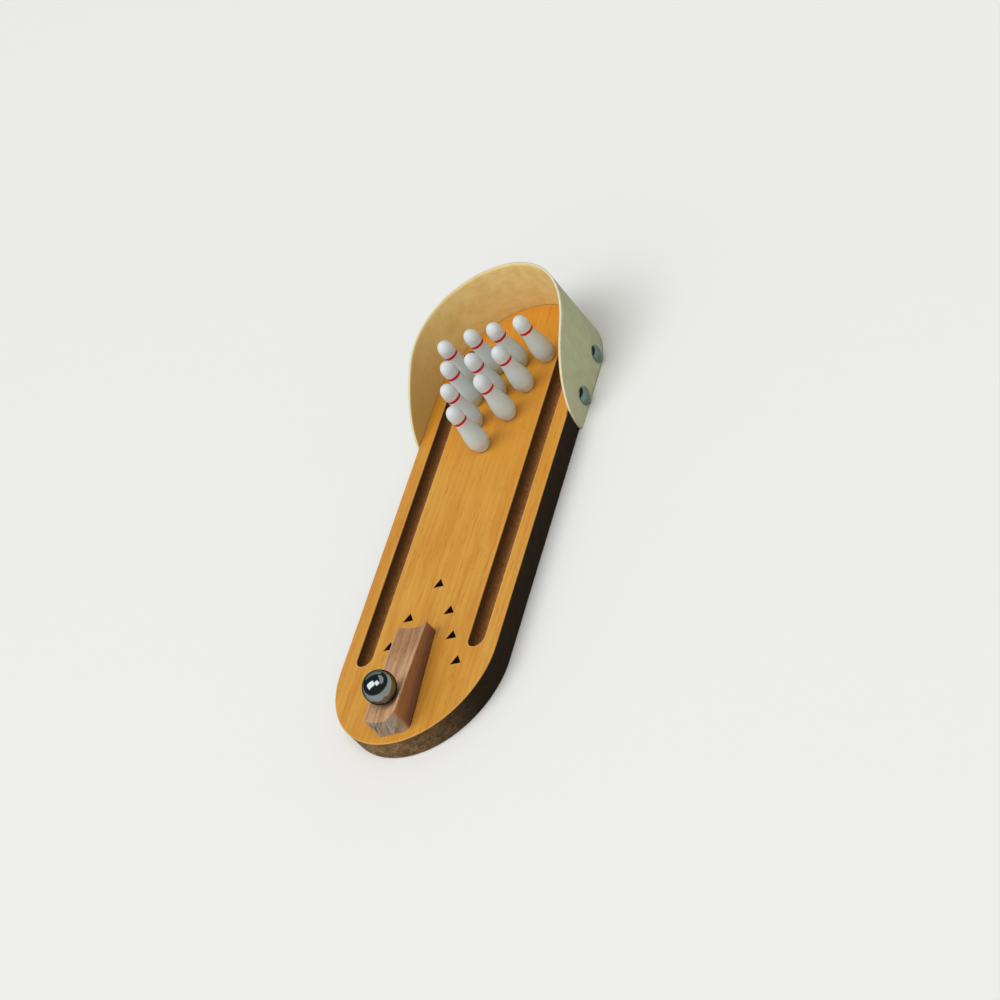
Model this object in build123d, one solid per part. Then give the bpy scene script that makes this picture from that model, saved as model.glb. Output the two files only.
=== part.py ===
from build123d import *
import math
import os

# Tabletop bowling game: a lane board with gutters, a guard round its rear end, ten pins,
# an aiming ramp and a steel ball.
# The origin is at the centre of the board's underside. +X is the player's right,
# +Y runs from the player to the pins, +Z is up. Sizes are in millimetres.

# Board: a fibreboard core with a thin wood veneer on top, both ends half-round
BOARD_LENGTH = 290.0
BOARD_WIDTH = 100.0
BOARD_THICKNESS = 13.0
BOARD_EDGE_ROUND = 0.8
VENEER_THICKNESS = 0.6
VENEER_EDGE_ROUND = 0.25

# Gutters: round-bottomed grooves with round ends, one on each side of the lane. The insets
# run from the board's side to a gutter's middle line, and from its front end to the centre of
# the gutter's front end. At the rear a wall is left inside the board's rounded end.
GUTTER_WIDTH = 10.8
GUTTER_SIDE_INSET = 14.0
GUTTER_FRONT_INSET = 57.1
GUTTER_REAR_WALL = 2.25

# Aiming arrows: black marks let into the veneer to a share of its thickness
ARROW_WIDTH = 6.8
ARROW_HEIGHT = 5.2
ARROW_DEPTH_SHARE = 0.5
# Each arrow's place, as shares of half the board's width and of half its length. The whole set
# is stamped a little to the left of the board's middle.
ARROW_PLACE_SHARES = [
    (-0.022, -0.323),
    (0.238, -0.456), (-0.288, -0.457),
    (0.378, -0.571), (-0.430, -0.572),
    (0.546, -0.687), (-0.574, -0.691),
]

# Guard: a leather sheet bent round the rear end, cut away in a long sweep at each side
GUARD_THICKNESS = 1.5
GUARD_CREST_HEIGHT = 46.5
GUARD_CORNER_RADIUS = 2.0
GUARD_SEAT_GAP = 0.1
# How far forward of the board's rear end the guard's front corners lie, and how far behind it
# the crest of its sweep would lie
GUARD_REACH = 91.7
GUARD_CREST_OVERHANG = 5.0

# Nails: domed heads that hold the guard to the board's side, two on each side
NAIL_HEAD_DIAMETER = 10.3
NAIL_HEAD_HEIGHT = 2.3
NAIL_RIM_THICKNESS = 0.4
NAIL_SHANK_DIAMETER = 1.5
NAIL_SHANK_LENGTH = 13.0
NAIL_TIP_LENGTH = 2.0
NAIL_HOLE_GAP = 0.04
NAIL_HEIGHT = 5.8
# The front nails lie behind the guard's front corners, the rear ones round the rear bend
NAIL_FRONT_INSET = 18.4
NAIL_REAR_ANGLE = 7.3

# Pins: turned, with a flat foot, a belly, a neck and an egg-shaped head. The head is widest
# one drop below the top, and the neck is narrowest one drop below that.
PIN_HEIGHT = 33.0
PIN_FOOT_DIAMETER = 7.8
PIN_FOOT_ROUND = 0.7
PIN_BELLY_DIAMETER = 12.0
PIN_BELLY_HEIGHT = 6.6
PIN_NECK_DIAMETER = 8.1
PIN_NECK_DROP = 5.2
PIN_HEAD_DIAMETER = 8.6
PIN_HEAD_DROP = 5.4
# The rack: the head pin's distance from the board's rear end, the pitch across a row and the
# pitch between rows
RACK_FRONT_INSET = 101.0
RACK_PITCH = 16.8
RACK_ROW_PITCH = 18.6
# Each pin's place, as shares of the pitch across and of the pitch between rows. They stand
# as a hand left them, so they are a little off the regular triangle.
PIN_PLACE_SHARES = [
    (-0.07, -0.02),
    (-0.68, 0.97), (0.64, 1.0),
    (-1.04, 1.93), (-0.08, 2.0), (1.01, 1.99),
    (-1.49, 2.85), (-0.48, 3.03), (0.43, 3.05), (1.5, 3.03),
]

# Ramp: a wooden block that slopes towards the pins, with a round channel along its top
RAMP_LENGTH = 62.0
RAMP_WIDTH = 18.8
RAMP_FRONT_HEIGHT = 14.0
RAMP_REAR_HEIGHT = 7.9
RAMP_LIP_WIDTH = 1.3
RAMP_CHANNEL_DEPTH = 3.1
RAMP_FRONT_LEFT_RADIUS = 2.0
RAMP_FRONT_RIGHT_RADIUS = 4.5
RAMP_REAR_CORNER_RADIUS = 1.5
RAMP_EDGE_ROUND = 0.4
RAMP_FRONT_X = 1.8
RAMP_FRONT_INSET = 4.9
RAMP_TURN = 3.9

# Ball: polished steel, near the high end of the ramp's channel
BALL_DIAMETER = 17.5
BALL_SETBACK = 15.3
BALL_GAP = 0.1

# Values worked out from the sizes above
OVERRUN = GUARD_THICKNESS
HALF_LENGTH = BOARD_LENGTH / 2
HALF_WIDTH = BOARD_WIDTH / 2
REAR_CENTRE_Y = HALF_LENGTH - HALF_WIDTH
CORE_THICKNESS = BOARD_THICKNESS - VENEER_THICKNESS
ARROW_DEPTH = VENEER_THICKNESS * ARROW_DEPTH_SHARE
GUTTER_RADIUS = GUTTER_WIDTH / 2
GUTTER_CENTRE_X = HALF_WIDTH - GUTTER_SIDE_INSET
GUTTER_FRONT_Y = GUTTER_FRONT_INSET - HALF_LENGTH
GUTTER_REAR_SWING = HALF_WIDTH - GUTTER_REAR_WALL - GUTTER_RADIUS
GUTTER_REAR_Y = REAR_CENTRE_Y + math.sqrt(GUTTER_REAR_SWING ** 2 - GUTTER_CENTRE_X ** 2)
GUARD_INNER_RADIUS = HALF_WIDTH + GUARD_SEAT_GAP
GUARD_OUTER_RADIUS = GUARD_INNER_RADIUS + GUARD_THICKNESS
GUARD_FRONT_Y = HALF_LENGTH - GUARD_REACH
GUARD_CREST_Y = HALF_LENGTH + GUARD_CREST_OVERHANG
NAIL_HEAD_RADIUS = NAIL_HEAD_DIAMETER / 2
NAIL_SHANK_RADIUS = NAIL_SHANK_DIAMETER / 2
NAIL_DOME_HEIGHT = NAIL_HEAD_HEIGHT - NAIL_RIM_THICKNESS
NAIL_SEAT = GUARD_OUTER_RADIUS - HALF_WIDTH
PIN_HEAD_HEIGHT = PIN_HEIGHT - PIN_HEAD_DROP
PIN_NECK_HEIGHT = PIN_HEAD_HEIGHT - PIN_NECK_DROP
RACK_FRONT_Y = HALF_LENGTH - RACK_FRONT_INSET
RAMP_SLOPE = math.degrees(math.atan2(RAMP_FRONT_HEIGHT - RAMP_REAR_HEIGHT, RAMP_LENGTH))
CHANNEL_HALF_WIDTH = RAMP_WIDTH / 2 - RAMP_LIP_WIDTH
CHANNEL_RADIUS = (CHANNEL_HALF_WIDTH ** 2 + RAMP_CHANNEL_DEPTH ** 2) / (2 * RAMP_CHANNEL_DEPTH)
# Where a quarter of a circle or an ellipse is half way round, as a share of its radii
HALF_ROOT_SHARE = math.sqrt(1 / 2)


def stadium(grow):
    """The board's outline seen from above, grown by the given amount."""
    return SlotOverall(BOARD_LENGTH + 2 * grow, BOARD_WIDTH + 2 * grow, rotation=90)


def gutter_cutter(side):
    """The space of one gutter: a round bar along the lane with a ball at each end."""
    length = GUTTER_REAR_Y - GUTTER_FRONT_Y
    middle = (GUTTER_FRONT_Y + GUTTER_REAR_Y) / 2
    x = side * GUTTER_CENTRE_X
    bar = Pos(x, middle, BOARD_THICKNESS) * Rot(90, 0, 0) * Cylinder(GUTTER_RADIUS, length)
    front = Pos(x, GUTTER_FRONT_Y, BOARD_THICKNESS) * Sphere(GUTTER_RADIUS)
    rear = Pos(x, GUTTER_REAR_Y, BOARD_THICKNESS) * Sphere(GUTTER_RADIUS)
    return bar + front + rear


def arrow_solid(place):
    """One arrow mark, flush with the veneer's top, its point towards the pins."""
    x = place[0] * HALF_WIDTH
    y = place[1] * HALF_LENGTH
    low = y - ARROW_HEIGHT / 2
    tip = (x, y + ARROW_HEIGHT / 2)
    corners = [(x - ARROW_WIDTH / 2, low), (x + ARROW_WIDTH / 2, low), tip]
    face = make_face(Polyline(*corners, close=True).edges())
    return Pos(0, 0, BOARD_THICKNESS - ARROW_DEPTH) * extrude(face, amount=ARROW_DEPTH)


def nail_places():
    """Each nail's frame: its name, and a plane on the board's side wall whose Z points out."""
    front_y = GUARD_FRONT_Y + NAIL_FRONT_INSET
    turn = math.radians(NAIL_REAR_ANGLE)
    rear_x = HALF_WIDTH * math.cos(turn)
    rear_y = REAR_CENTRE_Y + HALF_WIDTH * math.sin(turn)
    places = []
    for word, side in (("left", -1), ("right", 1)):
        front = Plane((side * HALF_WIDTH, front_y, NAIL_HEIGHT), x_dir=(0, 1, 0), z_dir=(side, 0, 0))
        out = (side * math.cos(turn), math.sin(turn), 0)
        across = (-math.sin(turn), side * math.cos(turn), 0)
        rear = Plane((side * rear_x, rear_y, NAIL_HEIGHT), x_dir=across, z_dir=out)
        places.append(("nail_front_" + word, front))
        places.append(("nail_rear_" + word, rear))
    return places


def nail_bore(plane):
    """The hole for a nail's shank, through the guard and into the board."""
    radius = NAIL_SHANK_RADIUS + NAIL_HOLE_GAP
    depth = NAIL_SHANK_LENGTH + NAIL_HOLE_GAP
    bore = Cylinder(radius, depth + OVERRUN, align=(Align.CENTER, Align.CENTER, Align.MAX))
    return plane * Pos(0, 0, NAIL_SEAT + OVERRUN) * bore


def nail_solid(plane):
    """A nail: a domed head on the guard's outer face and a pointed shank."""
    dome = ThreePointArc(
        (NAIL_HEAD_RADIUS, NAIL_RIM_THICKNESS),
        (NAIL_HEAD_RADIUS * HALF_ROOT_SHARE, NAIL_RIM_THICKNESS + dome_height(HALF_ROOT_SHARE)),
        (0, NAIL_HEAD_HEIGHT),
    )
    outline = [
        (0, NAIL_HEAD_HEIGHT),
        (0, -NAIL_SHANK_LENGTH),
        (NAIL_SHANK_RADIUS, NAIL_TIP_LENGTH - NAIL_SHANK_LENGTH),
        (NAIL_SHANK_RADIUS, 0),
        (NAIL_HEAD_RADIUS, 0),
        (NAIL_HEAD_RADIUS, NAIL_RIM_THICKNESS),
    ]
    face = Plane.XZ * make_face([*Polyline(*outline).edges(), *dome.edges()])
    return plane * Pos(0, 0, NAIL_SEAT) * revolve(face, axis=Axis.Z)


def dome_height(radius_share):
    """The dome's height above its rim, at a share of the head's radius."""
    ball = (NAIL_HEAD_RADIUS ** 2 + NAIL_DOME_HEIGHT ** 2) / (2 * NAIL_DOME_HEIGHT)
    drop = ball - math.sqrt(ball ** 2 - (radius_share * NAIL_HEAD_RADIUS) ** 2)
    return NAIL_DOME_HEIGHT - drop


def core_solid():
    """The fibreboard core, with the gutters and the nails' holes."""
    core = extrude(stadium(0), amount=CORE_THICKNESS)
    core = fillet(core.faces().sort_by(Axis.Z)[0].edges(), BOARD_EDGE_ROUND)
    for side in (-1, 1):
        core -= gutter_cutter(side)
    for name, plane in nail_places():
        core -= nail_bore(plane)
    return core


def veneer_solid():
    """The veneer on the core, cut by the gutters, with a pocket for each arrow."""
    veneer = Pos(0, 0, CORE_THICKNESS) * extrude(stadium(0), amount=VENEER_THICKNESS)
    veneer = fillet(veneer.faces().sort_by(Axis.Z)[-1].edges(), VENEER_EDGE_ROUND)
    for side in (-1, 1):
        veneer -= gutter_cutter(side)
    for place in ARROW_PLACE_SHARES:
        veneer -= arrow_solid(place)
    return veneer


def guard_profile():
    """The guard seen from the side: a rounded low corner, then a long sweep up to its crest."""
    corner_y = GUARD_FRONT_Y + GUARD_CORNER_RADIUS
    corner = CenterArc((corner_y, GUARD_CORNER_RADIUS), GUARD_CORNER_RADIUS, 180, 90)
    sweep = EllipticalCenterArc(
        (GUARD_CREST_Y, GUARD_CORNER_RADIUS),
        GUARD_CREST_Y - GUARD_FRONT_Y,
        GUARD_CREST_HEIGHT - GUARD_CORNER_RADIUS,
        start_angle=90,
        arc_size=90,
    )
    rest = Polyline((GUARD_CREST_Y, GUARD_CREST_HEIGHT), (GUARD_CREST_Y, 0), (corner_y, 0))
    return make_face([*corner.edges(), *sweep.edges(), *rest.edges()])


def guard_solid():
    """The leather guard: a thin wall round the board, cut to its side profile."""
    wall = stadium(GUARD_SEAT_GAP + GUARD_THICKNESS) - stadium(GUARD_SEAT_GAP)
    guard = extrude(wall, amount=GUARD_CREST_HEIGHT)
    reach = GUARD_OUTER_RADIUS + OVERRUN
    guard &= extrude(Plane.YZ * guard_profile(), amount=reach, both=True)
    for name, plane in nail_places():
        guard -= nail_bore(plane)
    return guard


def pin_solid(place):
    """One pin, turned about its own axis, standing on the lane."""
    foot_radius = PIN_FOOT_DIAMETER / 2
    head_radius = PIN_HEAD_DIAMETER / 2
    head_rise = PIN_HEIGHT - PIN_HEAD_HEIGHT
    foot = Line((0, 0), (foot_radius - PIN_FOOT_ROUND, 0))
    heel = RadiusArc((foot_radius - PIN_FOOT_ROUND, 0), (foot_radius, PIN_FOOT_ROUND), -PIN_FOOT_ROUND)
    side = Spline(
        (foot_radius, PIN_FOOT_ROUND),
        (PIN_BELLY_DIAMETER / 2, PIN_BELLY_HEIGHT),
        (PIN_NECK_DIAMETER / 2, PIN_NECK_HEIGHT),
        (head_radius, PIN_HEAD_HEIGHT),
        tangents=[(1, 2), (0, 1), (0, 1), (0, 1)],
    )
    crown = Spline(
        (head_radius, PIN_HEAD_HEIGHT),
        (head_radius * HALF_ROOT_SHARE, PIN_HEAD_HEIGHT + head_rise * HALF_ROOT_SHARE),
        (0, PIN_HEIGHT),
        tangents=[(0, 1), (-1, 0)],
    )
    axis = Line((0, PIN_HEIGHT), (0, 0))
    edges = [*foot.edges(), *heel.edges(), *side.edges(), *crown.edges(), *axis.edges()]
    pin = revolve(Plane.XZ * make_face(edges), axis=Axis.Z)
    x = place[0] * RACK_PITCH
    y = RACK_FRONT_Y + place[1] * RACK_ROW_PITCH
    return Pos(x, y, BOARD_THICKNESS) * pin


def ramp_place():
    """The ramp's frame on the board: its front end's centre, turned as the hand left it."""
    front_y = RAMP_FRONT_INSET - HALF_LENGTH
    return Location((RAMP_FRONT_X, front_y, BOARD_THICKNESS), (0, 0, RAMP_TURN))


def channel_place():
    """A frame in the ramp's: the top of its front end, with Y down the slope."""
    return Location((0, 0, RAMP_FRONT_HEIGHT), (-RAMP_SLOPE, 0, 0))


def ramp_solid():
    """The ramp: a sloped block with rounded corners and a round channel along the top."""
    side = Polyline(
        (0, 0),
        (RAMP_LENGTH, 0),
        (RAMP_LENGTH, RAMP_REAR_HEIGHT),
        (0, RAMP_FRONT_HEIGHT),
        close=True,
    )
    block = extrude(Plane.YZ * make_face(side.edges()), amount=RAMP_WIDTH / 2, both=True)
    for side, radius in ((0, RAMP_FRONT_LEFT_RADIUS), (-1, RAMP_FRONT_RIGHT_RADIUS)):
        upright = block.edges().filter_by(Axis.Z).group_by(Axis.Y)[0]
        block = fillet(upright.sort_by(Axis.X)[side], radius)
    upright = block.edges().filter_by(Axis.Z).sort_by(Axis.Y)
    block = fillet(upright[-2:], RAMP_REAR_CORNER_RADIUS)
    block = fillet(block.faces().sort_by(Axis.Z)[-1].edges(), RAMP_EDGE_ROUND)
    rise = CHANNEL_RADIUS - RAMP_CHANNEL_DEPTH
    bar = Rot(90, 0, 0) * Cylinder(CHANNEL_RADIUS, 2 * RAMP_LENGTH + 2 * OVERRUN)
    block -= channel_place() * Pos(0, 0, rise) * bar
    return ramp_place() * block


def ball_solid():
    """The ball, resting in the channel near its high end."""
    radius = BALL_DIAMETER / 2
    above = radius + BALL_GAP - RAMP_CHANNEL_DEPTH
    return ramp_place() * channel_place() * Pos(0, BALL_SETBACK, above) * Sphere(radius)


def build():
    """All the pieces, by the names of their nodes."""
    nodes = {"board_core": core_solid(), "lane_veneer": veneer_solid(), "guard": guard_solid()}
    nodes["lane_arrows"] = Compound(children=[arrow_solid(place) for place in ARROW_PLACE_SHARES])
    for name, plane in nail_places():
        nodes[name] = nail_solid(plane)
    for number, place in enumerate(PIN_PLACE_SHARES, start=1):
        nodes["pin_" + str(number)] = pin_solid(place)
    nodes["ramp"] = ramp_solid()
    nodes["ball"] = ball_solid()
    return nodes


os.makedirs("parts", exist_ok=True)
for node, shape in build().items():
    export_step(shape, os.path.join("parts", node + ".step"))
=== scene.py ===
import math

import bpy
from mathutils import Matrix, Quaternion, Vector


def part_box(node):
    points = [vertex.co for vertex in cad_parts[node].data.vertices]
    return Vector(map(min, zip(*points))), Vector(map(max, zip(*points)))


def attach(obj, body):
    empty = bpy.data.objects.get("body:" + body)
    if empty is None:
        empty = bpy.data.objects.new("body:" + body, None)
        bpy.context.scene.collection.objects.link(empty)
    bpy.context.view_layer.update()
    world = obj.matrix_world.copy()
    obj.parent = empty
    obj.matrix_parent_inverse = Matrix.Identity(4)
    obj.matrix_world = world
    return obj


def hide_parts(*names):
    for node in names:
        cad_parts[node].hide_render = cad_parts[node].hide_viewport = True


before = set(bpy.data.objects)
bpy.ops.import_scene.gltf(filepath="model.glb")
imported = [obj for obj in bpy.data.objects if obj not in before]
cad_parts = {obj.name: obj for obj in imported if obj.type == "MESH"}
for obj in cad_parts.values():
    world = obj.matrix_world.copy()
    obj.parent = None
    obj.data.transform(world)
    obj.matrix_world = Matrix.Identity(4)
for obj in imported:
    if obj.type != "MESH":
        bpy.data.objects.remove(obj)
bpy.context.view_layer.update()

# Tabletop bowling game: the finish of every piece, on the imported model.
# Everything is in metres. The lane runs along +Y to the pins, +X is to the right, +Z is up.
MM = 0.001

PINS = ["pin_" + str(number) for number in range(1, 11)]
NAILS = ["nail_front_left", "nail_front_right", "nail_rear_left", "nail_rear_right"]

# Camera: a long lens held above the board's right front corner and rolled, so that the lane
# climbs steeply across the picture. Its turn is a quaternion.
CAMERA_PLACE = Vector((0.760405, -0.730332, 0.738461))
CAMERA_TURN = (0.886401, 0.332948, 0.321024, 0.019537)
CAMERA_LENS = 88.45
CAMERA_SENSOR = 36.0

# Two far softboxes: the way that each one's light comes from, the light it gives, the angles
# that its sides span and how it is turned, read from the ball's two highlights
LAMP_DISTANCE = 12.0
KEY_WAY = Vector((-0.345, -0.295, 0.891))
KEY_STRENGTH = 1.64
KEY_SPREAD = (math.radians(33), math.radians(48))
KEY_TURN = math.radians(-18)
SECOND_WAY = Vector((0.362, -0.141, 0.922))
SECOND_STRENGTH = 0.65
SECOND_SPREAD = (math.radians(26), math.radians(26))
SECOND_TURN = math.radians(-16)
# A white wall in front of the board fills its shadows
FILL_WAY = Vector((-0.1, -0.99, 0.1))
# Metal shows a dark ceiling over the pale horizon, with a long lamp and a pale screen in it.
# Each has its middle, its turn about Z and its half sizes: outwards, sideways and up.
CEILING_START = 0.03
CEILING_FULL = 0.16
TUBE_WAY = (0.61, 0.43, 0.67)
TUBE_TURN = math.radians(35)
TUBE_SIZE = (0.4, 0.6, 0.16)
SCREEN_WAY = (-0.456, 0.79, 0.407)
SCREEN_TURN = math.radians(120)
SCREEN_SIZE = (0.4, 0.6, 0.24)
# Where the soft edge of the lamp and the screen starts and ends, counted in half sizes
PATCH_EDGE_OUT = 1.15
PATCH_EDGE_IN = 0.85
FLOOR_SIZE = 8.0

# Pins, in height above the foot and in radius
PIN_FOOT_FLAT_RADIUS = 3.2 * MM
PIN_FOOT_RADIUS = 3.9 * MM
PIN_HEEL_HEIGHT = 0.7 * MM
PIN_BELLY_RADIUS = 6.0 * MM
PIN_BELLY_HEIGHT = 6.6 * MM
PIN_NECK_RADIUS = 4.05 * MM
PIN_NECK_HEIGHT = 22.4 * MM
PIN_HEAD_RADIUS = 4.3 * MM
PIN_HEAD_HEIGHT = 27.6 * MM
PIN_BAND_HEIGHT = 23.4 * MM
PIN_BAND_WIDTH = 1.65 * MM
PIN_BAND_EDGE = 0.06 * MM
PIN_BAND_WAVER = 0.2 * MM
# How far below the band the painted shade greys the pin
PIN_SHADE_DEPTH = 9.9 * MM
# The handles of the body's and the neck's curves, as a share of each one's height
PIN_HANDLE_SHARE = 0.4

# Nail heads, and the shank's length, which tells a head's height from the whole nail's
NAIL_RIM_THICKNESS = 0.4 * MM
NAIL_RIM_EDGE = 0.12 * MM
NAIL_SHANK_LENGTH = 13.0 * MM
NAIL_HEAD_RADIUS = 5.15 * MM

# Guard: the crest of its sweep would lie behind the board's rear end
GUARD_THICKNESS = 1.5 * MM
GUARD_CORNER_RADIUS = 2.0 * MM
GUARD_CREST_HEIGHT = 46.5 * MM
GUARD_CREST_OVERHANG = 5.0 * MM
# How far along the sheet, from its left front end, the painted shade reaches
GUARD_SHADED_LENGTH = 95 * MM
GUARD_SOAKED_DEPTH = 0.45 * MM
GUARD_SOAKED_BLUR = 0.3 * MM
LEATHER_MOTTLE_SIZE = 9 * MM

# Board, in plan
BOARD_RADIUS = 50.0 * MM
VENEER_EDGE_WIDTH = 0.7 * MM
GUTTER_CENTRE_X = 36.0 * MM
GUTTER_FRONT_Y = -87.9 * MM
GUTTER_REAR_Y = 117.3 * MM
GUTTER_RADIUS = 5.4 * MM
# Two slow changes of colour over the board: the way that each one runs in plan, its size in
# millimetres as a pattern, and where it starts if that isn't the board's middle
ORANGE_WAY = math.radians(53)
ORANGE_SIZE = (100, 100, 100)
# The second is painted shade that darkens the core's sawn edge towards the right side and the rear
EDGE_SHADE_WAY = math.radians(41)
EDGE_SHADE_SIZE = (60, 60, 60)
EDGE_SHADE_START = (-24 * MM, -116 * MM, 0)

# Ramp: the middle of its front end, on the lane, and its finish
RAMP_FRONT = (1.8 * MM, -140.1 * MM, 13 * MM)
RAMP_TURN = math.radians(3.9)
RAMP_LIP_INNER = 8.1 * MM
RAMP_LIP_BLUR = 0.2 * MM
RAMP_SHADE_HEIGHT = 9.0 * MM
RAMP_BROWN_START = 32.0 * MM
RAMP_BROWN_FULL = 52.0 * MM
RAMP_RING_TILT = math.radians(24)

# How finely the pieces are drawn: the parts that a curve's arc is cut into, the steps along a
# turned piece's outline and the facets round it, and the guard's columns and rows
CURVE_PARTS = 32
PIN_STEPS = 110
PIN_FACETS = 64
BALL_STEPS = 97
BALL_FACETS = 128
NAIL_STEPS = 40
NAIL_FACETS = 72
GUARD_COLUMNS = 241
GUARD_ROWS = 33
# A circle's quarter as a cubic curve: the handle's length as a share of the radius
QUARTER_HANDLE = 0.5523
# Points that lie closer than this at a pole or a tip are one point
MERGE_DISTANCE = 0.001 * MM

# Node kinds that are used often, and the sockets of a colour mix, which go by number
COORDINATES = "ShaderNodeTexCoord"
MAPPING = "ShaderNodeMapping"
NOISE = "ShaderNodeTexNoise"
RANGE = "ShaderNodeMapRange"
MATH = "ShaderNodeMath"
MIX = "ShaderNodeMix"
BUMP = "ShaderNodeBump"
SPLIT = "ShaderNodeSeparateXYZ"
JOIN = "ShaderNodeCombineXYZ"
FIRST = 6
SECOND = 7
RESULT = 2


def linear(hex_colour):
    """An sRGB hex colour as linear RGBA."""
    channels = [int(hex_colour[start:start + 2], 16) / 255 for start in (1, 3, 5)]
    curve = [c / 12.92 if c <= 0.04045 else ((c + 0.055) / 1.055) ** 2.4 for c in channels]
    return (*curve, 1.0)


def add(tree, kind, inputs=None, **settings):
    """Adds a node with its settings. An input is a value, or another node's socket to link."""
    made = tree.nodes.new(kind)
    for name, value in settings.items():
        setattr(made, name, value)
    for key, value in (inputs or {}).items():
        if isinstance(value, bpy.types.NodeSocket):
            tree.links.new(value, made.inputs[key])
        else:
            made.inputs[key].default_value = value
    return made


def new_material(name, **sockets):
    """A material with the given values on its shader's own sockets; returns it with its tree."""
    material = bpy.data.materials.new(name)
    material.use_nodes = True
    shader = material.node_tree.nodes["Principled BSDF"]
    for key, value in sockets.items():
        shader.inputs[key.replace("_", " ")].default_value = value
    return material, material.node_tree, shader


def pattern_place(tree, size_mm, turn=(0, 0, 0), centre=(0, 0, 0)):
    """Object coordinates, counted in a pattern's own size along each axis."""
    return add(tree, MAPPING, {
        "Vector": add(tree, COORDINATES).outputs["Object"],
        "Location": centre, "Rotation": turn, "Scale": [size * MM for size in size_mm],
    }, vector_type="TEXTURE").outputs[0]


def tint(tree, colour, pattern, low, high, hex_colour, strength=1.0):
    """Turns a colour, a hex string or a socket, to another as a pattern's value goes from low to
    high. Low is the larger of the two where the value falls."""
    share = add(tree, RANGE, {
        "Value": pattern, "From Min": low, "From Max": high, "To Max": strength,
    }, interpolation_type="SMOOTHSTEP").outputs["Result"]
    start = linear(colour) if isinstance(colour, str) else colour
    return add(tree, MIX, {
        "Factor": share, FIRST: start, SECOND: linear(hex_colour),
    }, data_type="RGBA").outputs[RESULT]


def roughen(tree, shader, height, strength, depth):
    """Raises the surface by a pattern's value."""
    relief = add(tree, BUMP, {"Strength": strength, "Distance": depth, "Height": height})
    tree.links.new(relief.outputs["Normal"], shader.inputs["Normal"])


def distance_to_line(tree, side, front_y, rear_y):
    """Distance in plan from a line along Y: the board's middle, or both gutters' at once."""
    place = add(tree, SPLIT, {0: add(tree, COORDINATES).outputs["Object"]}).outputs
    out = add(tree, MATH, {0: place["X"]}, operation="ABSOLUTE").outputs[0]
    across = add(tree, MATH, {0: out, 1: side}, operation="SUBTRACT").outputs[0]
    along = add(tree, "ShaderNodeClamp", {
        "Value": place["Y"], "Min": front_y, "Max": rear_y,
    }).outputs[0]
    over = add(tree, MATH, {0: place["Y"], 1: along}, operation="SUBTRACT").outputs[0]
    flat = add(tree, JOIN, {"X": across, "Y": over}).outputs[0]
    return add(tree, "ShaderNodeVectorMath", {0: flat}, operation="LENGTH").outputs["Value"]


def pine_colour(tree, grain):
    """Pine: soft patches, flames, fine grain and flecks along the lane, oranger to the rear."""
    patches = add(tree, NOISE, {
        "Vector": pattern_place(tree, (8, 60, 8)), "Scale": 1.0, "Detail": 2.0, "Distortion": 0.3,
    }).outputs["Fac"]
    flames = add(tree, "ShaderNodeTexWave", {
        "Vector": pattern_place(tree, (13, 160, 13)),
        "Scale": 1.0, "Distortion": 4.0, "Detail": 2.0, "Detail Scale": 1.2,
    }, wave_type="BANDS", bands_direction="X").outputs["Fac"]
    glints = add(tree, NOISE, {
        "Vector": pattern_place(tree, (1.6, 24, 4), centre=(0.2, 0.7, 0)),
        "Scale": 1.0, "Detail": 2.0,
    }).outputs["Fac"]
    flecks = add(tree, NOISE, {
        "Vector": pattern_place(tree, (0.8, 8, 2), centre=(0.5, 0.3, 0)),
        "Scale": 1.0, "Detail": 1.0,
    }).outputs["Fac"]
    orange = add(tree, SPLIT, {
        0: pattern_place(tree, ORANGE_SIZE, turn=(0, 0, ORANGE_WAY)),
    }).outputs["X"]
    colour = tint(tree, "#DAA03E", patches, 0.3, 0.7, "#D08D30")
    colour = tint(tree, colour, flames, 0.6, 1.0, "#C27D1E", 0.25)
    colour = tint(tree, colour, grain, 0.45, 0.7, "#C0781F", 0.3)
    colour = tint(tree, colour, glints, 0.52, 0.72, "#EAB458", 0.25)
    colour = tint(tree, colour, orange, -0.2, 0.6, "#D68E24", 0.55)
    return tint(tree, colour, flecks, 0.63, 0.7, "#B46419", 0.45)


def veneer_edges(tree, colour):
    """Draws the veneer's edges over its colour: a painted highlight where they are free, and a
    painted shadow where the guard covers them.
    """
    gutter_gap = distance_to_line(tree, GUTTER_CENTRE_X, GUTTER_FRONT_Y, GUTTER_REAR_Y)
    gutter_edge = GUTTER_RADIUS + VENEER_EDGE_WIDTH
    # Painted highlight: a paler line along each gutter's edge
    colour = tint(tree, colour, gutter_gap, gutter_edge, GUTTER_RADIUS, "#EDB75C", 0.7)
    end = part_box("board_core")[1].y - BOARD_RADIUS
    board_gap = distance_to_line(tree, 0, -end, end)
    board_edge = BOARD_RADIUS - VENEER_EDGE_WIDTH
    # Painted highlight: a paler line along the board's edge
    colour = tint(tree, colour, board_gap, board_edge, BOARD_RADIUS, "#EDB155", 0.7)
    y = add(tree, SPLIT, {0: add(tree, COORDINATES).outputs["Object"]}).outputs["Y"]
    # Painted shadow: a darker line along the board's edge where the guard covers it
    free = add(tree, MATH, {0: y, 1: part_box("guard")[0].y}, operation="LESS_THAN").outputs[0]
    guard_shadow_gap = add(tree, MATH, {
        0: free, 1: -BOARD_RADIUS, 2: board_gap,
    }, operation="MULTIPLY_ADD").outputs[0]
    return tint(tree, colour, guard_shadow_gap, board_edge, BOARD_RADIUS, "#7A4617", 0.85)


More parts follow.
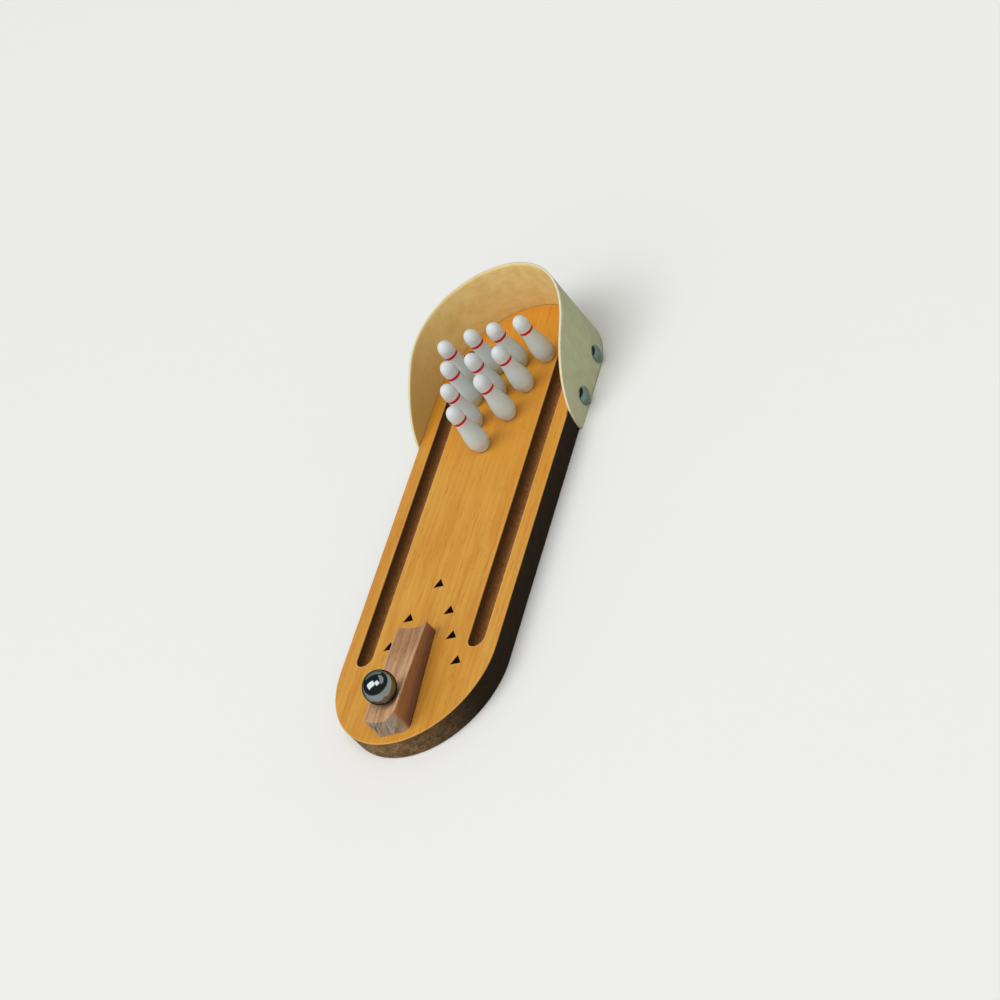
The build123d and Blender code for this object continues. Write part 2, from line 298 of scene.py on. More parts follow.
def varnished_veneer():
    """Varnished pine veneer: soft honey-coloured patches and short orange flecks along the lane, more
    orange towards the right rear, a painted highlight along its sanded edges, a painted shadow along
    its edge under the guard, and a satin coat."""
    material, tree, shader = new_material("varnished_pine_veneer", Roughness=0.45, IOR=1.4)
    grain = add(tree, NOISE, {
        "Vector": pattern_place(tree, (1.1, 30, 4)),
        "Scale": 1.0, "Detail": 3.0, "Roughness": 0.55, "Distortion": 0.15,
    }).outputs["Fac"]
    colour = veneer_edges(tree, pine_colour(tree, grain))
    tree.links.new(colour, shader.inputs["Base Color"])
    roughen(tree, shader, grain, 0.1, 0.04 * MM)
    return material


def sawn_edge(tree):
    """The core's sawn edge: speckled and clouded, with painted shade that darkens it along the sides.
    """
    speckle = add(tree, NOISE, {
        "Vector": pattern_place(tree, (1.5, 1.5, 1.1)),
        "Scale": 1.0, "Detail": 4.0, "Roughness": 0.6, "Distortion": 0.8,
    }).outputs["Fac"]
    clouds = add(tree, NOISE, {
        "Vector": pattern_place(tree, (7, 7, 5)), "Scale": 1.0, "Detail": 3.0,
    }).outputs["Fac"]
    painted_edge_shade = add(tree, SPLIT, {
        0: pattern_place(tree, EDGE_SHADE_SIZE, (0, 0, EDGE_SHADE_WAY), EDGE_SHADE_START),
    }).outputs["X"]
    colour = tint(tree, "#A8855A", speckle, 0.4, 0.62, "#5C4528", 0.8)
    colour = tint(tree, colour, clouds, 0.42, 0.7, "#5E472A", 0.6)
    # Painted shade: the sawn edge turns dark towards the right side and the rear
    return tint(tree, colour, painted_edge_shade, -0.15, 0.85, "#241B11", 0.96)


def milled_gutter(tree, fibres):
    """A gutter's surface: fuzzy, with painted shade on its left wall and painted light towards the
    right one.
    """
    shade_lean = add(tree, SPLIT, {0: add(tree, COORDINATES).outputs["Normal"]}).outputs["X"]
    # Painted light and shade by the way the surface faces: paler on the right slope, which faces
    # left, and darker on the left wall, which faces right
    colour = tint(tree, "#946638", shade_lean, 0.1, 0.45, "#7C4E20")
    colour = tint(tree, colour, shade_lean, 0.35, 0.95, "#523315")
    return tint(tree, colour, fibres, 0.42, 0.62, "#2E1A0A", 0.45)


def raw_fibreboard():
    """Raw dark fibreboard. Its sawn edge is speckled, with painted shade that darkens it along the
    sides; the milled gutters are fuzzy, with painted shade on the left wall and painted light towards
    the right."""
    material, tree, shader = new_material("raw_fibreboard", Roughness=0.9, Specular_IOR_Level=0.2)
    fibres = add(tree, NOISE, {
        "Vector": pattern_place(tree, (2.4, 5, 2.4), turn=(0, 0, 0.5)),
        "Scale": 1.0, "Detail": 5.0, "Roughness": 0.62, "Distortion": 2.5,
    }).outputs["Fac"]
    gap = distance_to_line(tree, GUTTER_CENTRE_X, GUTTER_FRONT_Y, GUTTER_REAR_Y)
    inside = add(tree, MATH, {
        0: gap, 1: GUTTER_RADIUS + VENEER_EDGE_WIDTH,
    }, operation="LESS_THAN").outputs[0]
    colour = add(tree, MIX, {
        "Factor": inside, FIRST: sawn_edge(tree), SECOND: milled_gutter(tree, fibres),
    }, data_type="RGBA").outputs[RESULT]
    tree.links.new(colour, shader.inputs["Base Color"])
    roughen(tree, shader, fibres, 0.6, 0.15 * MM)
    return material


def matt_black_ink():
    """Matt black ink on the arrow marks, slightly uneven where it has sunk into the grain."""
    material, tree, shader = new_material("matt_black_ink", Roughness=0.8, Specular_IOR_Level=0.05)
    soak = add(tree, NOISE, {
        "Vector": pattern_place(tree, (0.7, 5, 2)), "Scale": 1.0, "Detail": 3.0,
    }).outputs["Fac"]
    tree.links.new(tint(tree, "#050505", soak, 0.4, 0.75, "#14100C"), shader.inputs["Base Color"])
    return material


def saddle_leather(name, light, dark, shaded_colour, roughness, grain_mm):
    """Vegetable-tanned leather: mottled, browner near its left end as painted shade, with a fine
    pebbled grain that softens its sheen. The grain is drawn at the given size, coarser than the real
    0.2 mm, so that it shows."""
    material, tree, shader = new_material(name, Roughness=roughness, Specular_IOR_Level=0.3)
    hide = add(tree, "ShaderNodeAttribute", attribute_name="leather").outputs["Vector"]
    patches = add(tree, MAPPING, {
        "Vector": hide, "Scale": [LEATHER_MOTTLE_SIZE] * 3,
    }, vector_type="TEXTURE").outputs[0]
    mottle = add(tree, NOISE, {
        "Vector": patches, "Scale": 1.0, "Detail": 6.0, "Roughness": 0.75,
    }).outputs["Fac"]
    cells = add(tree, MAPPING, {
        "Vector": hide, "Scale": [grain_mm * MM] * 3,
    }, vector_type="TEXTURE").outputs[0]
    pebbles = add(tree, "ShaderNodeTexVoronoi", {
        "Vector": cells, "Scale": 1.0,
    }).outputs["Distance"]
    along = add(tree, SPLIT, {0: hide}).outputs["X"]
    colour = tint(tree, light, mottle, 0.35, 0.7, dark)
    # Painted shade: browner along the sheet's left stretch
    colour = tint(tree, colour, along, GUARD_SHADED_LENGTH, 0, shaded_colour)
    tree.links.new(colour, shader.inputs["Base Color"])
    roughen(tree, shader, pebbles, 0.3, 0.08 * MM)
    return material


def leather_edge(inner_radius, rear_centre):
    """The guard's cut edge: pale raw leather, with a tan line along its inner side where the
    finish has soaked in."""
    material = saddle_leather("leather_cut_edge", "#ECE4C6", "#E0D4AE", "#E0D4AE", 0.8, 0.4)
    tree = material.node_tree
    shader = tree.nodes["Principled BSDF"]
    colour = shader.inputs["Base Color"].links[0].from_socket
    depth = distance_to_line(tree, 0, -rear_centre, rear_centre)
    soaked = inner_radius + GUARD_SOAKED_DEPTH
    colour = tint(tree, colour, depth, soaked, soaked - GUARD_SOAKED_BLUR, "#C9A562")
    tree.links.new(colour, shader.inputs["Base Color"])
    return material


def chrome_plate():
    """Chrome-plated steel, darkened with age: a clear mirror with the faint ripple of a stamped
    head."""
    material, tree, shader = new_material("chrome_plated_steel", Metallic=1.0, Roughness=0.12)
    haze = add(tree, NOISE, {
        "Vector": pattern_place(tree, (3, 3, 3)), "Scale": 1.0, "Detail": 2.0,
    }).outputs["Fac"]
    tree.links.new(tint(tree, "#788A81", haze, 0.3, 0.7, "#6B7D74"), shader.inputs["Base Color"])
    roughen(tree, shader, haze, 0.08, 0.1 * MM)
    return material


def white_lacquer():
    """White lacquer on turned wood, softly glossed, with a red band sprayed round the neck, painted
    shade that turns it a little greyer below the band, and a painted contact shadow at the heel."""
    material, tree, shader = new_material("white_lacquer", Roughness=0.5, Specular_IOR_Level=0.35)
    waver = add(tree, NOISE, {
        "Vector": pattern_place(tree, (4, 4, 4)), "Scale": 1.0, "Detail": 1.0,
    }).outputs["Fac"]
    height = add(tree, SPLIT, {0: add(tree, COORDINATES).outputs["Object"]}).outputs["Z"]
    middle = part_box(PINS[0])[0].z + PIN_BAND_HEIGHT
    gap = add(tree, MATH, {0: height, 1: middle}, operation="SUBTRACT").outputs[0]
    far = add(tree, MATH, {0: gap}, operation="ABSOLUTE").outputs[0]
    uneven = add(tree, MATH, {
        0: waver, 1: PIN_BAND_WAVER, 2: far,
    }, operation="MULTIPLY_ADD").outputs[0]
    half = (PIN_BAND_WIDTH + PIN_BAND_WAVER) / 2
    heel = PIN_HEEL_HEIGHT - PIN_BAND_HEIGHT
    colour = tint(tree, "#DCE2E2", waver, 0.35, 0.7, "#D4DADA")
    # Painted shade: a little greyer below the band
    colour = tint(tree, colour, gap, PIN_BAND_WIDTH, -PIN_SHADE_DEPTH, "#CBD8D6")
    # Painted contact shadow: dark brown at the heel
    colour = tint(tree, colour, gap, heel, -PIN_BAND_HEIGHT, "#6E4A2C", 0.7)
    colour = tint(tree, colour, uneven, half + PIN_BAND_EDGE, half - PIN_BAND_EDGE, "#D0061C")
    tree.links.new(colour, shader.inputs["Base Color"])
    return material


def walnut_sides(tree, sideways, along):
    """Walnut cut along: pinkish tan in the channel, browner towards its rear, and redder and darker
    on the sides, partly the wood's own colour and partly painted bounce light and shade; painted
    shade darkens the sides towards the lane, with a painted contact shadow at the foot."""
    rise = add(tree, SPLIT, {
        0: pattern_place(tree, (1, 1, RAMP_SHADE_HEIGHT / MM), centre=RAMP_FRONT),
    }).outputs["Z"]
    # Painted shade: the sides darken from their top down towards the lane
    wall = tint(tree, "#745240", rise, 0.2, 1.1, "#BE8455")
    # Painted contact shadow along the foot of the sides
    wall = tint(tree, wall, rise, 0.12, 0.0, "#24150D", 0.85)
    start = RAMP_BROWN_START / MM
    full = RAMP_BROWN_FULL / MM
    channel = tint(tree, "#D8AA80", along, start, full, "#B58860", 0.9)
    side = add(tree, MATH, {0: sideways}, operation="ABSOLUTE").outputs[0]
    upright = add(tree, RANGE, {
        "Value": side, "From Min": 0.75, "From Max": 0.95,
    }).outputs["Result"]
    return add(tree, MIX, {
        "Factor": upright, FIRST: channel, SECOND: wall,
    }, data_type="RGBA").outputs[RESULT]


def walnut_ends(tree, colour, endways, streaks):
    """Turns the walnut greyer, with slanting lines, where it is cut across."""
    end = add(tree, MATH, {0: endways}, operation="ABSOLUTE").outputs[0]
    lines = add(tree, MATH, {0: streaks, 1: end}, operation="MULTIPLY").outputs[0]
    colour = tint(tree, colour, end, 0.5, 0.9, "#B2A48E")
    return tint(tree, colour, lines, 0.48, 0.62, "#5E4A36", 0.7)


def worn_lips(tree, colour, upwards, across):
    """Makes the two narrow lips beside the channel paler."""
    reach = add(tree, MATH, {0: across}, operation="ABSOLUTE").outputs[0]
    level = add(tree, RANGE, {
        "Value": upwards, "From Min": 0.9, "From Max": 0.98,
    }).outputs["Result"]
    lip = add(tree, MATH, {0: reach, 1: level}, operation="MULTIPLY").outputs[0]
    inner = RAMP_LIP_INNER / MM
    full = (RAMP_LIP_INNER + RAMP_LIP_BLUR) / MM
    return tint(tree, colour, lip, inner, full, "#D2B08A", 0.35)


def waxed_walnut():
    """Waxed walnut with leaning growth rings. Cut along, they are long streaks, pinkish tan in
    the channel and redder on the sides; cut across at the ends, greyer slanting lines."""
    material, tree, shader = new_material("waxed_walnut", Roughness=0.55, IOR=1.4)
    turn = (0, RAMP_RING_TILT, RAMP_TURN)
    rings = add(tree, NOISE, {
        "Vector": pattern_place(tree, (2.3, 90, 16), turn, RAMP_FRONT),
        "Scale": 1.0, "Detail": 3.0, "Roughness": 0.55,
    }).outputs["Fac"]
    streaks = add(tree, NOISE, {
        "Vector": pattern_place(tree, (0.9, 24, 8), turn, RAMP_FRONT),
        "Scale": 1.0, "Detail": 3.0, "Roughness": 0.6,
    }).outputs["Fac"]
    pores = add(tree, NOISE, {
        "Vector": pattern_place(tree, (0.5, 5, 0.5), turn, RAMP_FRONT), "Scale": 1.0, "Detail": 1.0,
    }).outputs["Fac"]
    turned = add(tree, MAPPING, {
        "Vector": add(tree, COORDINATES).outputs["Normal"], "Rotation": (0, 0, RAMP_TURN),
    }, vector_type="TEXTURE").outputs[0]
    facing = add(tree, SPLIT, {0: turned}).outputs
    place = add(tree, SPLIT, {
        0: pattern_place(tree, (1, 1, 1), (0, 0, RAMP_TURN), RAMP_FRONT),
    }).outputs
    colour = walnut_sides(tree, facing["X"], place["Y"])
    colour = walnut_ends(tree, colour, facing["Y"], streaks)
    colour = tint(tree, colour, rings, 0.42, 0.64, "#7E5539", 0.45)
    colour = tint(tree, colour, streaks, 0.47, 0.7, "#744A30", 0.3)
    colour = tint(tree, colour, pores, 0.6, 0.72, "#4A2C1B", 0.4)
    colour = worn_lips(tree, colour, facing["Z"], place["X"])
    tree.links.new(colour, shader.inputs["Base Color"])
    roughen(tree, shader, streaks, 0.25, 0.08 * MM)
    return material


def bearing_steel():
    """Polished dark bearing steel: a near-perfect mirror, faintly clouded, and darker and
    greener where it is seen at a low angle."""
    material, tree, shader = new_material(
        "polished_bearing_steel", Metallic=1.0, Roughness=0.08, Specular_Tint=linear("#4A605E"))
    haze = add(tree, NOISE, {
        "Vector": pattern_place(tree, (6, 6, 6)), "Scale": 1.0, "Detail": 3.0,
    }).outputs["Fac"]
    tree.links.new(tint(tree, "#8E9694", haze, 0.3, 0.7, "#828A88"), shader.inputs["Base Color"])
    return material


def studio_floor():
    """Pale matt paper that gives back little light, so that the board's sides stay dark."""
    material, tree, shader = new_material("pale_matt_paper", Roughness=0.9)
    paths = add(tree, "ShaderNodeLightPath").outputs
    colour = add(tree, MIX, {
        "Factor": paths["Is Diffuse Ray"], FIRST: linear("#F1F1EE"), SECOND: linear("#8A8A88"),
    }, data_type="RGBA").outputs[RESULT]
    tree.links.new(colour, shader.inputs["Base Color"])
    return material


def new_tree(name, inputs):
    """A Geometry Nodes tree with a geometry in and out, and the named inputs."""
    tree = bpy.data.node_groups.new(name, "GeometryNodeTree")
    tree.interface.new_socket(name="Geometry", in_out="INPUT", socket_type="NodeSocketGeometry")
    for label, kind in inputs.items():
        tree.interface.new_socket(name=label, in_out="INPUT", socket_type="NodeSocket" + kind)
    tree.interface.new_socket(name="Geometry", in_out="OUTPUT", socket_type="NodeSocketGeometry")
    return tree, add(tree, "NodeGroupInput").outputs


def close_tree(tree, geometry, material):
    """Ends a tree: points at poles and tips merged, smooth faces, a real mesh, the material."""
    merged = add(tree, "GeometryNodeMergeByDistance", {
        "Geometry": geometry, "Distance": MERGE_DISTANCE,
    })
    smooth = add(tree, "GeometryNodeSetShadeSmooth", {"Geometry": merged.outputs[0]})
    real = add(tree, "GeometryNodeRealizeInstances", {"Geometry": smooth.outputs[0]})
    finish = add(tree, "GeometryNodeSetMaterial", {
        "Geometry": real.outputs[0], "Material": material,
    })
    add(tree, "NodeGroupOutput", {0: finish.outputs[0]})


def run_tree(name, tree, curve, values):
    """Runs a tree on a curve and returns the result as a plain mesh object."""
    carrier = bpy.data.objects.new(name + "_carrier", curve)
    bpy.context.scene.collection.objects.link(carrier)
    modifier = carrier.modifiers.new(tree.name, "NODES")
    modifier.node_group = tree
    for item in tree.interface.items_tree:
        if item.in_out == "INPUT" and item.name in values:
            modifier[item.identifier] = values[item.name]
    graph = bpy.context.evaluated_depsgraph_get()
    mesh = bpy.data.meshes.new_from_object(carrier.evaluated_get(graph))
    mesh.name = name
    carrier.modifiers.clear()
    bpy.data.objects.remove(carrier)
    piece = bpy.data.objects.new(name, mesh)
    bpy.context.scene.collection.objects.link(piece)
    return piece


def draw_curve(name, stations, flat_axis):
    """A curve in one plane. Each station is a point, the handle before it and the handle after
    it, both as steps from the point. The flat axis is the one that the curve stays at zero on."""
    curve = bpy.data.curves.new(name, "CURVE")
    curve.dimensions = "3D"
    curve.resolution_u = CURVE_PARTS
    spline = curve.splines.new("BEZIER")
    spline.bezier_points.add(len(stations) - 1)
    for point, (at, before, after) in zip(spline.bezier_points, stations):
        point.handle_left_type = "FREE"
        point.handle_right_type = "FREE"
        start = Vector(at[:flat_axis] + (0,) + at[flat_axis:])
        point.co = start
        point.handle_left = start + Vector(before[:flat_axis] + (0,) + before[flat_axis:])
        point.handle_right = start + Vector(after[:flat_axis] + (0,) + after[flat_axis:])
    return curve


def lathe_tree():
    """A turned piece: the profile, drawn in X and Z, is swept round Z, tipped and put in place."""
    tree, given = new_tree("turned_piece", {
        "Steps": "Int", "Facets": "Int", "Way": "Vector", "Place": "Vector", "Material": "Material",
    })
    steps = add(tree, "GeometryNodeResampleCurve", {
        "Curve": given["Geometry"], "Count": given["Steps"],
    })
    spot = add(tree, SPLIT, {0: add(tree, "GeometryNodeInputPosition").outputs[0]}).outputs
    widths = add(tree, "GeometryNodeSetCurveRadius", {
        "Curve": steps.outputs[0], "Radius": spot["X"],
    })
    spine = add(tree, "GeometryNodeSetPosition", {
        "Geometry": widths.outputs[0], "Position": add(tree, JOIN, {"Z": spot["Z"]}).outputs[0],
    })
    circle = add(tree, "GeometryNodeCurvePrimitiveCircle", {
        "Resolution": given["Facets"], "Radius": 1.0,
    })
    skin = add(tree, "GeometryNodeCurveToMesh", {
        "Curve": spine.outputs[0], "Profile Curve": circle.outputs[0],
        "Scale": add(tree, "GeometryNodeInputRadius").outputs[0], "Fill Caps": True,
    })
    tipped = add(tree, "FunctionNodeAlignRotationToVector", {"Vector": given["Way"]}, axis="Z")
    stood = add(tree, "GeometryNodeTransform", {
        "Geometry": skin.outputs[0], "Translation": given["Place"], "Rotation": tipped.outputs[0],
    })
    close_tree(tree, stood.outputs[0], given["Material"])
    return tree


def pin_profile(height):
    """The pin's half outline: flat foot, heel, belly, neck, head and crown."""
    heel = PIN_HEEL_HEIGHT * QUARTER_HANDLE
    low = (PIN_BELLY_HEIGHT - PIN_HEEL_HEIGHT) / 3
    body = (PIN_NECK_HEIGHT - PIN_BELLY_HEIGHT) * PIN_HANDLE_SHARE
    neck = (PIN_HEAD_HEIGHT - PIN_NECK_HEIGHT) * PIN_HANDLE_SHARE
    crown = (height - PIN_HEAD_HEIGHT) * QUARTER_HANDLE
    return draw_curve("pin_profile", [
        ((PIN_FOOT_FLAT_RADIUS, 0), (0, 0), (heel, 0)),
        ((PIN_FOOT_RADIUS, PIN_HEEL_HEIGHT), (0, -heel), (low / 2, low)),
        ((PIN_BELLY_RADIUS, PIN_BELLY_HEIGHT), (0, -low), (0, body)),
        ((PIN_NECK_RADIUS, PIN_NECK_HEIGHT), (0, -body), (0, neck)),
        ((PIN_HEAD_RADIUS, PIN_HEAD_HEIGHT), (0, -neck), (0, crown)),
        ((0, height), (PIN_HEAD_RADIUS * QUARTER_HANDLE, 0), (0, 0)),
    ], 1)


def ball_profile(radius):
    """Half a circle, from the ball's lowest point to its highest."""
    reach = radius * QUARTER_HANDLE
    return draw_curve("ball_profile", [
        ((0, -radius), (0, 0), (reach, 0)),
        ((radius, 0), (0, -reach), (0, reach)),
        ((0, radius), (reach, 0), (0, 0)),
    ], 1)


def nail_profile(height):
    """A nail head's half outline: flat underside, thin rim and a dome that is part of a ball."""
    dome = height - NAIL_RIM_THICKNESS
    ball = (NAIL_HEAD_RADIUS ** 2 + dome ** 2) / (2 * dome)
    angle = math.asin(NAIL_HEAD_RADIUS / ball)
    # The handle of an arc that turns by the angle, as the cubic curve's rule gives it
    reach = 4 / 3 * math.tan(angle / 4) * ball
    shoulder = (-reach * math.cos(angle), reach * math.sin(angle))
    edge = NAIL_RIM_EDGE
    return draw_curve("nail_profile", [
        ((NAIL_HEAD_RADIUS - edge, 0), (0, 0), (edge * QUARTER_HANDLE, 0)),
        ((NAIL_HEAD_RADIUS, edge), (0, -edge * QUARTER_HANDLE), (0, 0)),
        ((NAIL_HEAD_RADIUS, NAIL_RIM_THICKNESS), (0, 0), shoulder),
        ((0, height), (reach, 0), (0, 0)),
    ], 1)


def make_pins(tree, material):
    """Ten pins, each standing where its solid stands."""
    for name in PINS:
        low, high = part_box(name)
        foot = Vector(((low.x + high.x) / 2, (low.y + high.y) / 2, low.z))
        pin = run_tree(name + "_lacquered", tree, pin_profile(high.z - low.z), {
            "Steps": PIN_STEPS, "Facets": PIN_FACETS, "Way": (0, 0, 1), "Place": foot,
            "Material": material,
        })
        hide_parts(name)
        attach(pin, name)


def make_ball(tree, material):
    """The ball, where its solid lies in the ramp's channel."""
    low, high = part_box("ball")
    ball = run_tree("ball_polished", tree, ball_profile((high.x - low.x) / 2), {
        "Steps": BALL_STEPS, "Facets": BALL_FACETS, "Way": (0, 0, 1), "Place": (low + high) / 2,
        "Material": material,
    })
    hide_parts("ball")
    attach(ball, "ball")


def make_nails(tree, material):
    """Four domed nail heads, flat on the guard's outer face. A nail's tip is its point nearest
    the board's middle plane, and its dome's top is the point furthest from the tip."""
    for name in NAILS:
        points = [vertex.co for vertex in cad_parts[name].data.vertices]
        tip = min(points, key=lambda point: abs(point.x))
        top = max(points, key=lambda point: (point - tip).length)
        way = (top - tip).normalized()
        height = (top - tip).length - NAIL_SHANK_LENGTH
        nail = run_tree(name + "_plated", tree, nail_profile(height), {
            "Steps": NAIL_STEPS, "Facets": NAIL_FACETS, "Way": way, "Place": top - way * height,
            "Material": material,
        })
        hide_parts(name)
        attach(nail, "board")


def guard_path(radius, centre_y, front_y):
    """The line in plan that the guard's inner face follows round the board's rear end."""
    reach = radius * QUARTER_HANDLE
    step = (centre_y - front_y) / 3
    return draw_curve("guard_path", [
        ((-radius, front_y), (0, 0), (0, step)),
        ((-radius, centre_y), (0, -step), (0, reach)),
        ((0, centre_y + radius), (-reach, 0), (reach, 0)),
        ((radius, centre_y), (0, reach), (0, -step)),
        ((radius, front_y), (0, step), (0, 0)),
    ], 2)


def quarter_ellipse(tree, y, top_y, front_y, front_height, top_height):
    """Height of an edge that is a quarter of an ellipse: level at its top, upright in front."""
    share = add(tree, RANGE, {
        "Value": y, "From Min": top_y, "From Max": front_y,
    }).outputs["Result"]
    angle = add(tree, MATH, {0: share}, operation="ARCSINE").outputs[0]
    rise = add(tree, MATH, {0: angle}, operation="COSINE").outputs[0]
    return add(tree, RANGE, {
        "Value": rise, "To Min": front_height, "To Max": top_height,
    }).outputs["Result"]


def guard_tree():
    """The guard as a sheet: columns stand along the path, and rows fill the height between a
    lower edge with round front corners and an upper edge that sweeps up as part of an ellipse."""
    tree, given = new_tree("bent_guard", {
        "Columns": "Int", "Rows": "Int", "Length": "Float", "Crest": "Float", "Corner": "Float",
        "Front": "Float", "Corner End": "Float", "Crest Y": "Float", "Material": "Material",
    })
    grid = add(tree, "GeometryNodeMeshGrid", {
        "Size X": math.pi, "Size Y": 1.0, "Vertices X": given["Columns"], "Vertices Y": given["Rows"],
    }).outputs["Mesh"]
    spot = add(tree, SPLIT, {0: add(tree, "GeometryNodeInputPosition").outputs[0]}).outputs
    # The sine draws the columns together at the two front ends, where the edges are steepest
    eased = add(tree, MATH, {0: spot["X"]}, operation="SINE").outputs[0]
    share = add(tree, RANGE, {"Value": eased, "From Min": -1.0}).outputs["Result"]
    on_path = add(tree, "GeometryNodeSampleCurve", {
        "Curves": given["Geometry"], "Factor": share,
    }, use_all_curves=True).outputs["Position"]
    plan = add(tree, SPLIT, {0: on_path}).outputs
    front, corner = given["Front"], given["Corner"]
    upper = quarter_ellipse(tree, plan["Y"], given["Crest Y"], front, corner, given["Crest"])
    lower = quarter_ellipse(tree, plan["Y"], given["Corner End"], front, corner, 0.0)
    height = add(tree, RANGE, {
        "Value": spot["Y"], "From Min": -0.5, "From Max": 0.5, "To Min": lower, "To Max": upper,
    }).outputs["Result"]
    along = add(tree, MATH, {0: share, 1: given["Length"]}, operation="MULTIPLY").outputs[0]
    kept = add(tree, "GeometryNodeStoreNamedAttribute", {
        "Geometry": grid, "Name": "leather",
        "Value": add(tree, JOIN, {"X": along, "Y": height}).outputs[0],
    }, data_type="FLOAT_VECTOR", domain="POINT")
    bent = add(tree, "GeometryNodeSetPosition", {
        "Geometry": kept.outputs[0],
        "Position": add(tree, JOIN, {"X": plan["X"], "Y": plan["Y"], "Z": height}).outputs[0],
    })
    outward = add(tree, "GeometryNodeFlipFaces", {"Mesh": bent.outputs[0]})
    close_tree(tree, outward.outputs[0], given["Material"])
    return tree


def make_guard():
    """The leather guard: a bent sheet given its thickness outwards. Its inside is the flesh side,
    its outside the grain side, and its cut edge is raw and pale."""
    low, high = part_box("guard")
    outer = (high.x - low.x) / 2
    inner = outer - GUARD_THICKNESS
    centre_y = high.y - outer
    straight = centre_y - low.y
    crest_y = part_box("board_core")[1].y + GUARD_CREST_OVERHANG
    grain = saddle_leather("leather_grain_side", "#DADDB0", "#CCCEA0", "#D2CFA2", 0.6, 0.7)
    flesh = saddle_leather("leather_flesh_side", "#F2DC98", "#E6C87E", "#CDAC5E", 0.8, 0.5)
    cut = leather_edge(inner, centre_y)
    sheet = run_tree("guard_leather", guard_tree(), guard_path(inner, centre_y, low.y), {
        "Columns": GUARD_COLUMNS, "Rows": GUARD_ROWS, "Length": 2 * straight + math.pi * inner,
        "Crest": GUARD_CREST_HEIGHT, "Corner": GUARD_CORNER_RADIUS, "Front": low.y,
        "Corner End": low.y + GUARD_CORNER_RADIUS, "Crest Y": crest_y, "Material": grain,
    })
    sheet.data.materials.append(flesh)
    sheet.data.materials.append(cut)
    # The sheet drawn above is the inside, and the thickness goes outwards from it. The outside
    # keeps the first material, the inside takes the second and the cut edge the third.
    thicken = sheet.modifiers.new("thickness", "SOLIDIFY")
    thicken.thickness = GUARD_THICKNESS
    thicken.offset = 1.0
    thicken.material_offset = 1
    thicken.material_offset_rim = 2
    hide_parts("guard")
    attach(sheet, "board")


def finish_node(name, material):
    """Gives a carried-over solid its finish."""
    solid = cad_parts[name]
    solid.data.materials.clear()
    solid.data.materials.append(material)


def make_floor():
    """A wide pale floor under the board."""
    mesh = bpy.data.meshes.new("floor")
    reach = FLOOR_SIZE / 2
    corners = [(-reach, -reach, 0), (reach, -reach, 0), (reach, reach, 0), (-reach, reach, 0)]
    mesh.from_pydata(corners, [], [(0, 1, 2, 3)])
    mesh.materials.append(studio_floor())
    floor = bpy.data.objects.new("floor", mesh)
    bpy.context.scene.collection.objects.link(floor)


def make_lamp(name, way, strength, spread, turn):
    """A far softbox, as large as its spread, whose light comes from the given way."""
    lamp = bpy.data.lights.new(name, "AREA")
    lamp.shape = "RECTANGLE"
    lamp.size = 2 * LAMP_DISTANCE * math.tan(spread[0] / 2)
    lamp.size_y = 2 * LAMP_DISTANCE * math.tan(spread[1] / 2)
    lamp.energy = strength * math.pi * LAMP_DISTANCE ** 2
    facing = way.to_track_quat("Z", "Y") @ Quaternion((0, 0, 1), turn)
    holder = bpy.data.objects.new(name, lamp)
    holder.location = way.normalized() * LAMP_DISTANCE
    holder.rotation_euler = facing.to_euler()
    bpy.context.scene.collection.objects.link(holder)


def gap_in_sizes(tree, way, middle, turn, size):
    """How far a way lies from the middle of a patch of the studio, counted in its half sizes."""
    steps = add(tree, MAPPING, {
        "Vector": way, "Location": middle, "Rotation": (0, 0, turn), "Scale": size,
    }, vector_type="TEXTURE").outputs[0]
    return add(tree, "ShaderNodeVectorMath", {0: steps}, operation="LENGTH").outputs["Value"]


def studio_fill(tree, way):
    """What lights the matt surfaces: bright from the front and low down, weak from above."""
    toward_fill = add(tree, "ShaderNodeVectorMath", {
        0: way, 1: FILL_WAY,
    }, operation="DOT_PRODUCT").outputs["Value"]
    height = add(tree, SPLIT, {0: way}).outputs["Z"]
    fill = tint(tree, "#AFAFAF", toward_fill, -0.6, 0.9, "#FFFFFF")
    return tint(tree, fill, height, 0.2, 0.9, "#808080", 0.9)


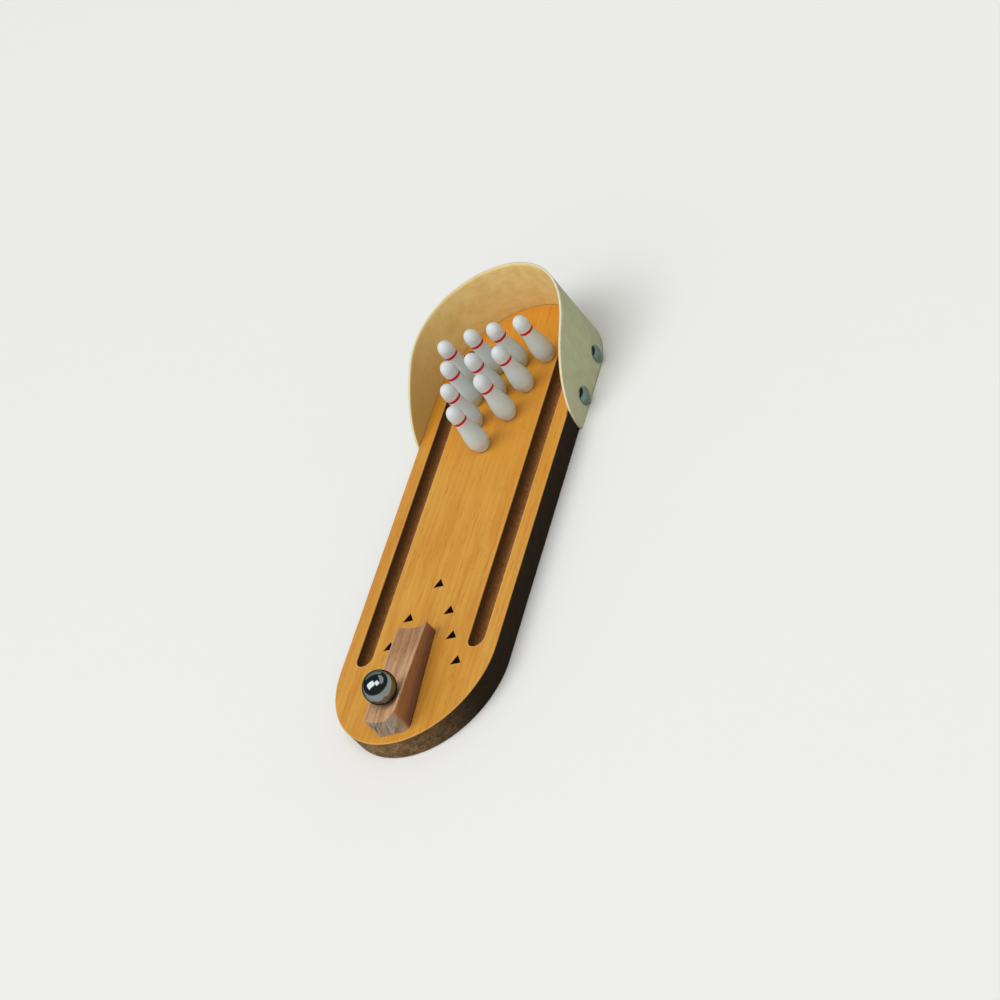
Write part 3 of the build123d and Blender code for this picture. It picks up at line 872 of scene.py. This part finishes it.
def studio_mirrored(tree, way):
    """What metal shows: a pale horizon, a dark ceiling, a long lamp and a pale screen."""
    height = add(tree, SPLIT, {0: way}).outputs["Z"]
    tube_gap = gap_in_sizes(tree, way, TUBE_WAY, TUBE_TURN, TUBE_SIZE)
    screen_gap = gap_in_sizes(tree, way, SCREEN_WAY, SCREEN_TURN, SCREEN_SIZE)
    colour = tint(tree, "#F0F0EE", height, CEILING_START, CEILING_FULL, "#434446")
    colour = tint(tree, colour, tube_gap, PATCH_EDGE_OUT, PATCH_EDGE_IN, "#F0F0EE")
    return tint(tree, colour, screen_gap, PATCH_EDGE_OUT, PATCH_EDGE_IN, "#C9CBCA")


def make_studio_light():
    """The light from all round. The eye sees the studio plain and pale, and metal shows it with
    its dark ceiling."""
    world = bpy.data.worlds.new("studio")
    bpy.context.scene.world = world
    world.use_nodes = True
    tree = world.node_tree
    way = add(tree, COORDINATES).outputs["Generated"]
    paths = add(tree, "ShaderNodeLightPath").outputs
    lit = add(tree, MIX, {
        "Factor": paths["Is Glossy Ray"],
        FIRST: studio_fill(tree, way), SECOND: studio_mirrored(tree, way),
    }, data_type="RGBA").outputs[RESULT]
    seen = add(tree, MIX, {
        "Factor": paths["Is Camera Ray"], FIRST: lit, SECOND: linear("#F0F0EE"),
    }, data_type="RGBA").outputs[RESULT]
    tree.links.new(seen, tree.nodes["Background"].inputs["Color"])


def make_camera():
    """The camera, at the photograph's viewing angle."""
    lens = bpy.data.cameras.new("camera")
    lens.lens = CAMERA_LENS
    lens.sensor_width = CAMERA_SENSOR
    stand = bpy.data.objects.new("camera", lens)
    stand.rotation_mode = "QUATERNION"
    stand.location = CAMERA_PLACE
    stand.rotation_quaternion = CAMERA_TURN
    bpy.context.scene.collection.objects.link(stand)
    bpy.context.scene.camera = stand


finish_node("board_core", raw_fibreboard())
finish_node("lane_veneer", varnished_veneer())
finish_node("lane_arrows", matt_black_ink())
finish_node("ramp", waxed_walnut())
lathe = lathe_tree()
make_pins(lathe, white_lacquer())
make_ball(lathe, bearing_steel())
make_nails(lathe, chrome_plate())
make_guard()

make_floor()
make_lamp("key_lamp", KEY_WAY, KEY_STRENGTH, KEY_SPREAD, KEY_TURN)
make_lamp("second_lamp", SECOND_WAY, SECOND_STRENGTH, SECOND_SPREAD, SECOND_TURN)
make_studio_light()
make_camera()
bpy.context.scene.view_settings.view_transform = "Standard"
